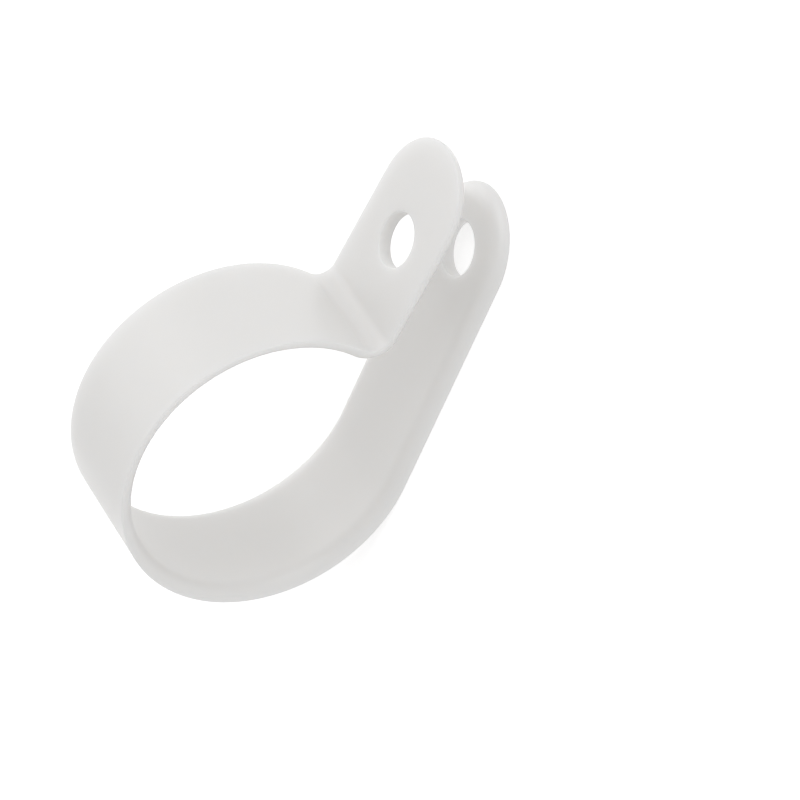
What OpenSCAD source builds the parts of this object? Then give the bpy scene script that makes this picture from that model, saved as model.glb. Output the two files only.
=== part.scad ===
// P clip: one moulded nylon strap that wraps round a cable or a pipe and is
// screwed down through the holes in its two tabs. Millimetres.
// The base tab lies flat on Z = 0 with the centre of its hole at the origin.
// +X runs from the loop to the ends of the tabs, and the loop's axis is along Y.

/* [Loop] */
// Inside diameter of the loop as moulded, before the tabs are screwed together
loop_d = 26.5; // [20:0.5:60]

/* [Strap] */
// Width of the strap
strap_w = 12.7; // [10:0.1:18]
// Thickness of the strap
strap_t = 1.4; // [1:0.1:2]
// Square part of each long edge, between its rounding and the outer face
edge_land = 0.1; // [0.1:0.05:0.6]

/* [Neck] */
// Radius of the bend between the loop and the top tab, on its hollow side
neck_r = 1.6; // [1:0.1:3]

/* [Tabs] */
// Gap between the two tabs at the neck
tab_gap = 6; // [4:0.1:7]
// Angle at which the top tab slopes down towards its end
tab_slope = 5; // [0:0.5:6]
// Distance from the outside of the loop to the centre line of the holes
hole_offset = 7.7; // [6:0.1:15]
// Diameter of the fixing hole in each tab
hole_d = 5.2; // [3:0.1:6]
// Distance from the hole in the base tab to the end of the tab
base_end = 6.35; // [5:0.05:12]
// Distance from the hole in the top tab to the end of the tab
top_end = 10.1; // [5:0.1:12]

/* [Hidden] */
$fn = 96;

loop_r = loop_d / 2;
// Rounding of the edges that face the cable
edge_r = strap_t - edge_land;
// The ends of the tabs are full rounds
end_r = strap_w / 2;

// Where two stretches of the strap meet, one runs on into the other by the lap,
// and is finer than it by the step on every side, so that no faces coincide
lap = 0.15;
step = 0.01;
lap_angle = lap / loop_r * 180 / PI;

// Centre of the loop, seen from the side: X along the tabs, Y off the mounting face
loop_x = -(loop_r + strap_t + hole_offset);
loop_y = strap_t + loop_r;

// The loop ends below its own centre, where the neck leaves the right gap
neck_reach = loop_r + strap_t + neck_r;
neck_drop = asin((loop_r - tab_gap - strap_t - neck_r) / neck_reach);
wrap_angle = 270 + neck_drop;
neck_turn = 90 + neck_drop - tab_slope;
neck_x = loop_x + neck_reach * cos(neck_drop);
neck_y = loop_y - neck_reach * sin(neck_drop);

// Along the top tab, from the neck to the point straight above the base hole
top_reach = ((neck_r + strap_t / 2) * sin(tab_slope) - neck_x) / cos(tab_slope);

// How far a drill passes each face
drill_over = 1;

// Section across the strap, its inner face towards X = 0, finer by inset all round
module strap_section(inset) {
    half_w = strap_w / 2 - inset;
    intersection() {
        translate([inset, -half_w]) square([strap_t - 2 * inset, 2 * half_w]);
        union() {
            translate([edge_r, -strap_w]) square([strap_t, 2 * strap_w]);
            translate([-strap_t, edge_r - strap_w / 2]) square([3 * strap_t, strap_w - 2 * edge_r]);
            for (side = [-1, 1])
                translate([edge_r, side * (strap_w / 2 - edge_r)]) circle(edge_r - inset);
        }
    }
}

// Half section of a tab's round end: its outer face towards Y = 0, its rim at X = end_r
module end_section(inset) {
    intersection() {
        translate([0, inset]) square([end_r - inset, strap_t - 2 * inset]);
        union() {
            square([end_r, strap_t - edge_r]);
            square([end_r - edge_r, strap_t]);
            translate([end_r - edge_r, strap_t - edge_r]) circle(edge_r - inset);
        }
    }
}

// Seen from the side, the strap turns clockwise from under the loop's centre
module loop() {
    translate([loop_x, loop_y, 0])
        rotate([0, 0, -90 - wrap_angle - lap_angle])
            rotate_extrude(angle = wrap_angle + 2 * lap_angle)
                translate([loop_r, 0]) strap_section(step);
}

// The reverse bend: here the strap's outer face is on the hollow side
module neck() {
    translate([neck_x, neck_y, 0])
        rotate([0, 0, 180 - neck_drop])
            rotate_extrude(angle = neck_turn)
                translate([neck_r + strap_t, 0]) mirror([1, 0]) strap_section(0);
}

// A straight tab along +X from -run_in, with a full round end and a hole at reach.
// Its outer face is on Y = 0.
module tab(reach, past_hole, run_in, inset) {
    end_x = reach + past_hole - end_r;
    difference() {
        union() {
            translate([-run_in, strap_t, 0])
                rotate([-90, 0, 0]) rotate([0, 90, 0])
                    linear_extrude(run_in + end_x) strap_section(inset);
            translate([end_x, 0, 0])
                rotate([-90, 0, 0]) rotate([0, 0, -90])
                    rotate_extrude(angle = 180) end_section(inset);
        }
        translate([reach, -drill_over, 0]) rotate([-90, 0, 0])
            cylinder(d = hole_d, h = strap_t + 2 * drill_over);
    }
}

module base_tab() {
    translate([loop_x, 0, 0]) tab(-loop_x, base_end, 0, 0);
}

module top_tab() {
    translate([neck_x, neck_y, 0]) rotate([0, 0, -tab_slope])
        translate([0, -neck_r, 0]) mirror([0, 1, 0])
            tab(top_reach, top_end, lap, step);
}

// The side view stood up, so that its Y becomes Z
module clip() {
    color("#e6e5e1") rotate([90, 0, 0]) {
        base_tab();
        loop();
        neck();
        top_tab();
    }
}

clip();
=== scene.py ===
import math

import bmesh
import bpy
from mathutils import Matrix, Vector


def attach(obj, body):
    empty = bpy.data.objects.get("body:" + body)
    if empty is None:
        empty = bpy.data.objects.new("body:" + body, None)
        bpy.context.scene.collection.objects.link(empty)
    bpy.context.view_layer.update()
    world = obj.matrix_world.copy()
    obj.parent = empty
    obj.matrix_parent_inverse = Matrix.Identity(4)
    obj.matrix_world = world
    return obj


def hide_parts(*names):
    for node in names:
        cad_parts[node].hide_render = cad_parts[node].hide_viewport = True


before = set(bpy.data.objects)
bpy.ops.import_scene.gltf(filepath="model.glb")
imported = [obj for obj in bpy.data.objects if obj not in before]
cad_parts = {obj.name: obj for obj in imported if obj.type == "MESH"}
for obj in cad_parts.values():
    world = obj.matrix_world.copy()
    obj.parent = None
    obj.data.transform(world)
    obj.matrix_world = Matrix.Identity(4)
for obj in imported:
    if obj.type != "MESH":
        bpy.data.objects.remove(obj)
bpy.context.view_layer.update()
scene = bpy.context.scene

MM = 0.001

# ---------------------------------------------------------------- the clip's sizes, in millimetres
LOOP_R = 13.25        # inside radius of the loop
STRAP_W = 12.7
STRAP_T = 1.4
EDGE_IN = 1.7         # the rounding of the edges that face the cable: across the strap
EDGE_DEEP = 1.26      # and through its thickness
RIM_R = 0.12          # the outer edges are nearly sharp
NECK_R = 1.6
TAB_GAP = 6.0
TAB_SLOPE = math.radians(5.0)
HOLE_OFFSET = 7.7     # from the outside of the loop to the holes
HOLE_R = 2.6
HOLE_RIM = 0.1
BASE_END = 6.35       # from each hole to the end of its tab
TOP_END = 10.1

HALF_W = STRAP_W / 2
LOOP_X = -(LOOP_R + STRAP_T + HOLE_OFFSET)
LOOP_Z = LOOP_R + STRAP_T
NECK_REACH = LOOP_R + STRAP_T + NECK_R
NECK_DROP = math.asin((LOOP_R - TAB_GAP - STRAP_T - NECK_R) / NECK_REACH)
NECK_X = LOOP_X + NECK_REACH * math.cos(NECK_DROP)
NECK_Z = LOOP_Z - NECK_REACH * math.sin(NECK_DROP)
TOP_REACH = ((NECK_R + STRAP_T / 2) * math.sin(TAB_SLOPE) - NECK_X) / math.cos(TAB_SLOPE)
WRAP = math.radians(270) + NECK_DROP
NECK_TURN = math.radians(90) + NECK_DROP - TAB_SLOPE

# the strap laid out flat: s runs from the base tab's tip to the top tab's tip
S_LOOP = BASE_END - LOOP_X
S_NECK = S_LOOP + WRAP * (LOOP_R + STRAP_T / 2)
S_TOP = S_NECK + NECK_TURN * (NECK_R + STRAP_T / 2)
S_END = S_TOP + TOP_REACH + TOP_END

# the fineness of the mesh: its steps along the strap, and its counts round the curves
BASE_STEP, LOOP_STEP, NECK_STEP, TOP_STEP, SIDE_STEP = 0.8, 0.4, 0.12, 0.6, 0.5
END_SEGMENTS = 48
EDGE_SEGMENTS = 10
COLUMNS = 24          # across the strap
SUPPORT = 0.08        # a narrow column beside each edge keeps the shading of the face flat
RING_SHARES = (0.06, 0.2, 0.4, 0.7)    # from a hole's rim to the outline of its end of the tab
BASE_ZONE = BASE_END + 6.6             # where the rings round the base hole give way to rows
TOP_ZONE = S_END - TOP_END - 6.0


def on_strap(s, y, depth):
    """The point at s along the strap and y across it, depth inwards from its outer face."""
    if s <= S_LOOP:
        x, z = BASE_END - s, depth
    elif s <= S_NECK:
        a = (s - S_LOOP) / (LOOP_R + STRAP_T / 2)
        r = LOOP_R + STRAP_T - depth
        x, z = LOOP_X - r * math.sin(a), LOOP_Z - r * math.cos(a)
    else:
        a = min((s - S_NECK) / (NECK_R + STRAP_T / 2), NECK_TURN) + math.pi - NECK_DROP
        r = NECK_R + depth
        x, z = NECK_X + r * math.cos(a), NECK_Z + r * math.sin(a)
        run = max(s - S_TOP, 0)
        x, z = x + run * math.cos(TAB_SLOPE), z - run * math.sin(TAB_SLOPE)
    return Vector((x, y, z)) * MM


def steps(start, end, size):
    n = max(1, math.ceil(abs(end - start) / size))
    return [start + (end - start) * i / n for i in range(n + 1)]


def arc(angle, segments):
    return [angle * i / segments for i in range(segments + 1)]


def strap_rows():
    """Where the rows of quads lie along the strap, between the two ends with holes."""
    rows = steps(BASE_ZONE, S_LOOP, BASE_STEP)[:-1] + steps(S_LOOP, S_NECK, LOOP_STEP)[:-1]
    return rows + steps(S_NECK, S_TOP, NECK_STEP)[:-1] + steps(S_TOP, TOP_ZONE, TOP_STEP)


def tab_outline(zone, centre, way, side):
    """Stations round a tab's end, from zone on one side to zone on the other.

    A station is (centre, ds, dy): at inset d it lies at centre + (ds, dy) * (HALF_W - d).
    """
    edge = steps(zone, centre, SIDE_STEP)[:-1]
    out = [(s, 0, side) for s in edge]
    out += [(centre, way * math.sin(a), side * math.cos(a)) for a in arc(math.pi, END_SEGMENTS)]
    return out + [(s, 0, -side) for s in reversed(edge)]


def spot(station, inset):
    centre, ds, dy = station
    return centre + ds * (HALF_W - inset), dy * (HALF_W - inset)


def edge_profile():
    """The long edges' section as (inset, depth), from the outer face round to the inner face."""
    turns = arc(math.pi / 2, EDGE_SEGMENTS)
    rim = [(RIM_R * (1 - math.sin(a)), RIM_R * (1 - math.cos(a))) for a in turns[::2]]
    return rim + [(EDGE_IN * (1 - math.cos(a)), STRAP_T - EDGE_DEEP + EDGE_DEEP * math.sin(a)) for a in turns]


def hole_profile():
    """A hole's section as (radius, depth), from the outer face through to the inner face."""
    turns = arc(math.pi / 2, EDGE_SEGMENTS)
    lip = [(HOLE_R + HOLE_RIM * (1 - math.sin(a)), HOLE_RIM * (1 - math.cos(a))) for a in turns[::2]]
    return lip + [(r, STRAP_T - z) for r, z in reversed(lip)]


def face_ys(inset):
    rim = HALF_W - inset
    inner = rim - SUPPORT
    middle_ys = [inner * (i / (COLUMNS / 2) - 1) for i in range(1, COLUMNS)]
    return [-rim, -rim + SUPPORT] + middle_ys + [inner, rim]


def surround(outline, zone, inset):
    """The closed outline of the flat region round a hole."""
    ys = face_ys(inset)[1:-1]
    if outline[0][2] < 0:
        ys.reverse()
    return [spot(st, inset) for st in outline] + [(zone, y) for y in ys]


def strap_mesh():
    """The whole moulding as one closed mesh: rows of quads along both faces, rings round the holes,
    and rounded strips round the outline and through the holes."""
    bm = bmesh.new()
    made = {}

    def vert(s, y, depth):
        key = (round(s, 4), round(y, 4), round(depth, 4))
        if key not in made:
            made[key] = bm.verts.new(on_strap(s, y, depth))
        return made[key]

    def strip(a, b, closed=False):
        for i in range(len(a) if closed else len(a) - 1):
            j = (i + 1) % len(a)
            bm.faces.new([a[i], a[j], b[j], b[i]])

    rows = strap_rows()
    base_outline = tab_outline(BASE_ZONE, HALF_W, -1, 1)
    top_outline = tab_outline(TOP_ZONE, S_END - HALF_W, 1, -1)
    faces = ((0, RIM_R), (STRAP_T, EDGE_IN))

    for outline in (base_outline, top_outline, [(s, 0, -1) for s in rows], [(s, 0, 1) for s in rows]):
        loops = [[vert(*spot(st, d), z) for st in outline] for d, z in edge_profile()]
        for a, b in zip(loops, loops[1:]):
            strip(a, b)

    for depth, inset in faces:
        grid = [[vert(s, y, depth) for y in face_ys(inset)] for s in rows]
        for a, b in zip(grid, grid[1:]):
            strip(a, b)

    tabs = ((base_outline, BASE_END, BASE_ZONE), (top_outline, S_END - TOP_END, TOP_ZONE))
    for outline, hole, zone in tabs:
        rays = [math.atan2(y, s - hole) for s, y in surround(outline, zone, EDGE_IN)]

        def round_hole(r, depth):
            return [vert(hole + r * math.cos(a), r * math.sin(a), depth) for a in rays]

        def ring(share, outer, depth):
            """A ring that lies the given share of the way from the hole's rim to the outline."""
            r = HOLE_R + HOLE_RIM
            points = []
            for a, (s, y) in zip(rays, outer):
                along = hole + r * math.cos(a) * (1 - share) + (s - hole) * share
                across = r * math.sin(a) * (1 - share) + y * share
                points.append(vert(along, across, depth))
            return points

        for depth, inset in faces:
            outer = surround(outline, zone, inset)
            rings = [round_hole(HOLE_R + HOLE_RIM, depth)]
            rings += [ring(share, outer, depth) for share in RING_SHARES]
            rings.append([vert(s, y, depth) for s, y in outer])
            for a, b in zip(rings, rings[1:]):
                strip(a, b, closed=True)

        loops = [round_hole(r, z) for r, z in hole_profile()]
        for a, b in zip(loops, loops[1:]):
            strip(a, b, closed=True)

    bmesh.ops.recalc_face_normals(bm, faces=bm.faces)
    mesh = bpy.data.meshes.new("clip_body")
    bm.to_mesh(mesh)
    bm.free()
    for p in mesh.polygons:
        p.use_smooth = True
    return mesh


# ---------------------------------------------------------------- materials
WHITE = (1, 1, 1, 1)
PAPER = (0.8, 0.8, 0.8, 1)
NATURAL_NYLON = (0.735, 0.728, 0.717, 1)
FLOOR_GLOW = 0.5      # makes up what the light on the paper leaves short of white
WORLD_LIGHT = 0.68


def new_material(name):
    m = bpy.data.materials.new(name)
    m.use_nodes = True
    t = m.node_tree
    t.nodes.clear()
    return m, t.nodes, t.links


def nylon():
    m, n, link = new_material("nylon")
    out = n.new("ShaderNodeOutputMaterial")
    p = n.new("ShaderNodeBsdfPrincipled")
    p.inputs["Base Color"].default_value = NATURAL_NYLON
    p.inputs["Roughness"].default_value = 0.34
    p.inputs["IOR"].default_value = 1.53
    p.inputs["Subsurface Weight"].default_value = 1.0
    p.inputs["Subsurface Radius"].default_value = (1.0, 0.95, 0.9)
    p.inputs["Subsurface Scale"].default_value = 0.004
    link.new(p.outputs[0], out.inputs[0])
    return m


def seen_directly(n, link):
    """1 for camera, glossy and transmission rays, 0 for the rays that light the object."""
    lp = n.new("ShaderNodeLightPath")
    a = n.new("ShaderNodeMath")
    a.operation = "MAXIMUM"
    link.new(lp.outputs["Is Camera Ray"], a.inputs[0])
    link.new(lp.outputs["Is Glossy Ray"], a.inputs[1])
    b = n.new("ShaderNodeMath")
    b.operation = "MAXIMUM"
    link.new(a.outputs[0], b.inputs[0])
    link.new(lp.outputs["Is Transmission Ray"], b.inputs[1])
    return b.outputs[0]


def floor_white():
    """White paper that keeps the object's shadow where it is seen directly.

    The rays that light the object pass through it, or it would darken the translucent base tab.
    """
    m, n, link = new_material("floor_white")
    out = n.new("ShaderNodeOutputMaterial")
    paper = n.new("ShaderNodeBsdfDiffuse")
    paper.inputs["Color"].default_value = PAPER
    glow = n.new("ShaderNodeEmission")
    glow.inputs["Color"].default_value = WHITE
    glow.inputs["Strength"].default_value = FLOOR_GLOW
    both = n.new("ShaderNodeAddShader")
    link.new(paper.outputs[0], both.inputs[0])
    link.new(glow.outputs[0], both.inputs[1])
    clear = n.new("ShaderNodeBsdfTransparent")
    mix = n.new("ShaderNodeMixShader")
    link.new(seen_directly(n, link), mix.inputs[0])
    link.new(clear.outputs[0], mix.inputs[1])
    link.new(both.outputs[0], mix.inputs[2])
    link.new(mix.outputs[0], out.inputs[0])
    return m


# ---------------------------------------------------------------- the clip
body = bpy.data.objects.new("clip_body", strap_mesh())
scene.collection.objects.link(body)
body.data.materials.append(nylon())
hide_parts("clip")
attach(body, "root")

# ---------------------------------------------------------------- white surroundings
FLOOR_HALF = 2        # metres
FLOOR_DROP = 0.00002  # just clear of the mounting face
sheet = bpy.data.meshes.new("floor")
corners = [(-FLOOR_HALF, -FLOOR_HALF, 0), (FLOOR_HALF, -FLOOR_HALF, 0),
           (FLOOR_HALF, FLOOR_HALF, 0), (-FLOOR_HALF, FLOOR_HALF, 0)]
sheet.from_pydata(corners, [], [(0, 1, 2, 3)])
floor = bpy.data.objects.new("floor", sheet)
floor.location.z = -FLOOR_DROP
scene.collection.objects.link(floor)
floor.data.materials.append(floor_white())


def white_world():
    """The world is white where it is seen directly, and lights the object at a lower level."""
    w = bpy.data.worlds.new("white")
    w.use_nodes = True
    n, link = w.node_tree.nodes, w.node_tree.links
    n.clear()
    out = n.new("ShaderNodeOutputWorld")
    mix = n.new("ShaderNodeMixShader")
    light = n.new("ShaderNodeBackground")
    light.inputs["Color"].default_value = WHITE
    light.inputs["Strength"].default_value = WORLD_LIGHT
    seen = n.new("ShaderNodeBackground")
    seen.inputs["Color"].default_value = WHITE
    seen.inputs["Strength"].default_value = 1.0
    link.new(seen_directly(n, link), mix.inputs[0])
    link.new(light.outputs[0], mix.inputs[1])
    link.new(seen.outputs[0], mix.inputs[2])
    link.new(mix.outputs[0], out.inputs[0])
    return w


scene.world = white_world()

# ---------------------------------------------------------------- camera
AZIMUTH, ELEVATION, ROLL = (math.radians(a) for a in (31.894, 33.470, 83.742))
LENS = 251.74
SENSOR = 36
CAMERA_AIM = Vector((-13.030, -6.233, 4.818)) * MM
CAMERA_DISTANCE = 0.50982

flat = math.cos(ELEVATION)
back = Vector((math.sin(AZIMUTH) * flat, -math.cos(AZIMUTH) * flat, math.sin(ELEVATION)))
level = (-back).cross(Vector((0, 0, 1))).normalized()
above = level.cross(-back)
up = above * math.cos(ROLL) + level * math.sin(ROLL)
right = (-back).cross(up)
cam = bpy.data.objects.new("camera", bpy.data.cameras.new("camera"))
scene.collection.objects.link(cam)
cam.data.lens = LENS
cam.data.sensor_width = SENSOR
cam.data.clip_start, cam.data.clip_end = 0.05, 5
camera_place = CAMERA_AIM + back * CAMERA_DISTANCE
cam.matrix_world = Matrix.Translation(camera_place) @ Matrix((right, up, back)).transposed().to_4x4()
scene.camera = cam

# ---------------------------------------------------------------- lamps
LAMP_DISTANCE = 0.5
LAMP_SIZE = 0.4
CLIP_MIDDLE = Vector((-0.013, 0, 0.012))
# each lamp's direction as the camera sees it, and its power in watts
LAMPS = {
    "top_front": (up + back, 0.6),
    "top_behind": (up - right - back * 0.6, 0.5),
    "left": (-right, 0.05),
}


def softbox(name, way, power):
    lamp = bpy.data.lights.new(name, "AREA")
    lamp.shape = "RECTANGLE"
    lamp.size = lamp.size_y = LAMP_SIZE
    lamp.energy = power
    ob = bpy.data.objects.new(name, lamp)
    place = CLIP_MIDDLE + way.normalized() * LAMP_DISTANCE
    ob.location = place
    ob.rotation_mode = "QUATERNION"
    ob.rotation_quaternion = (CLIP_MIDDLE - place).to_track_quat("-Z", "Y")
    scene.collection.objects.link(ob)


for name, (way, power) in LAMPS.items():
    softbox(name, way, power)

scene.view_settings.view_transform = "Standard"
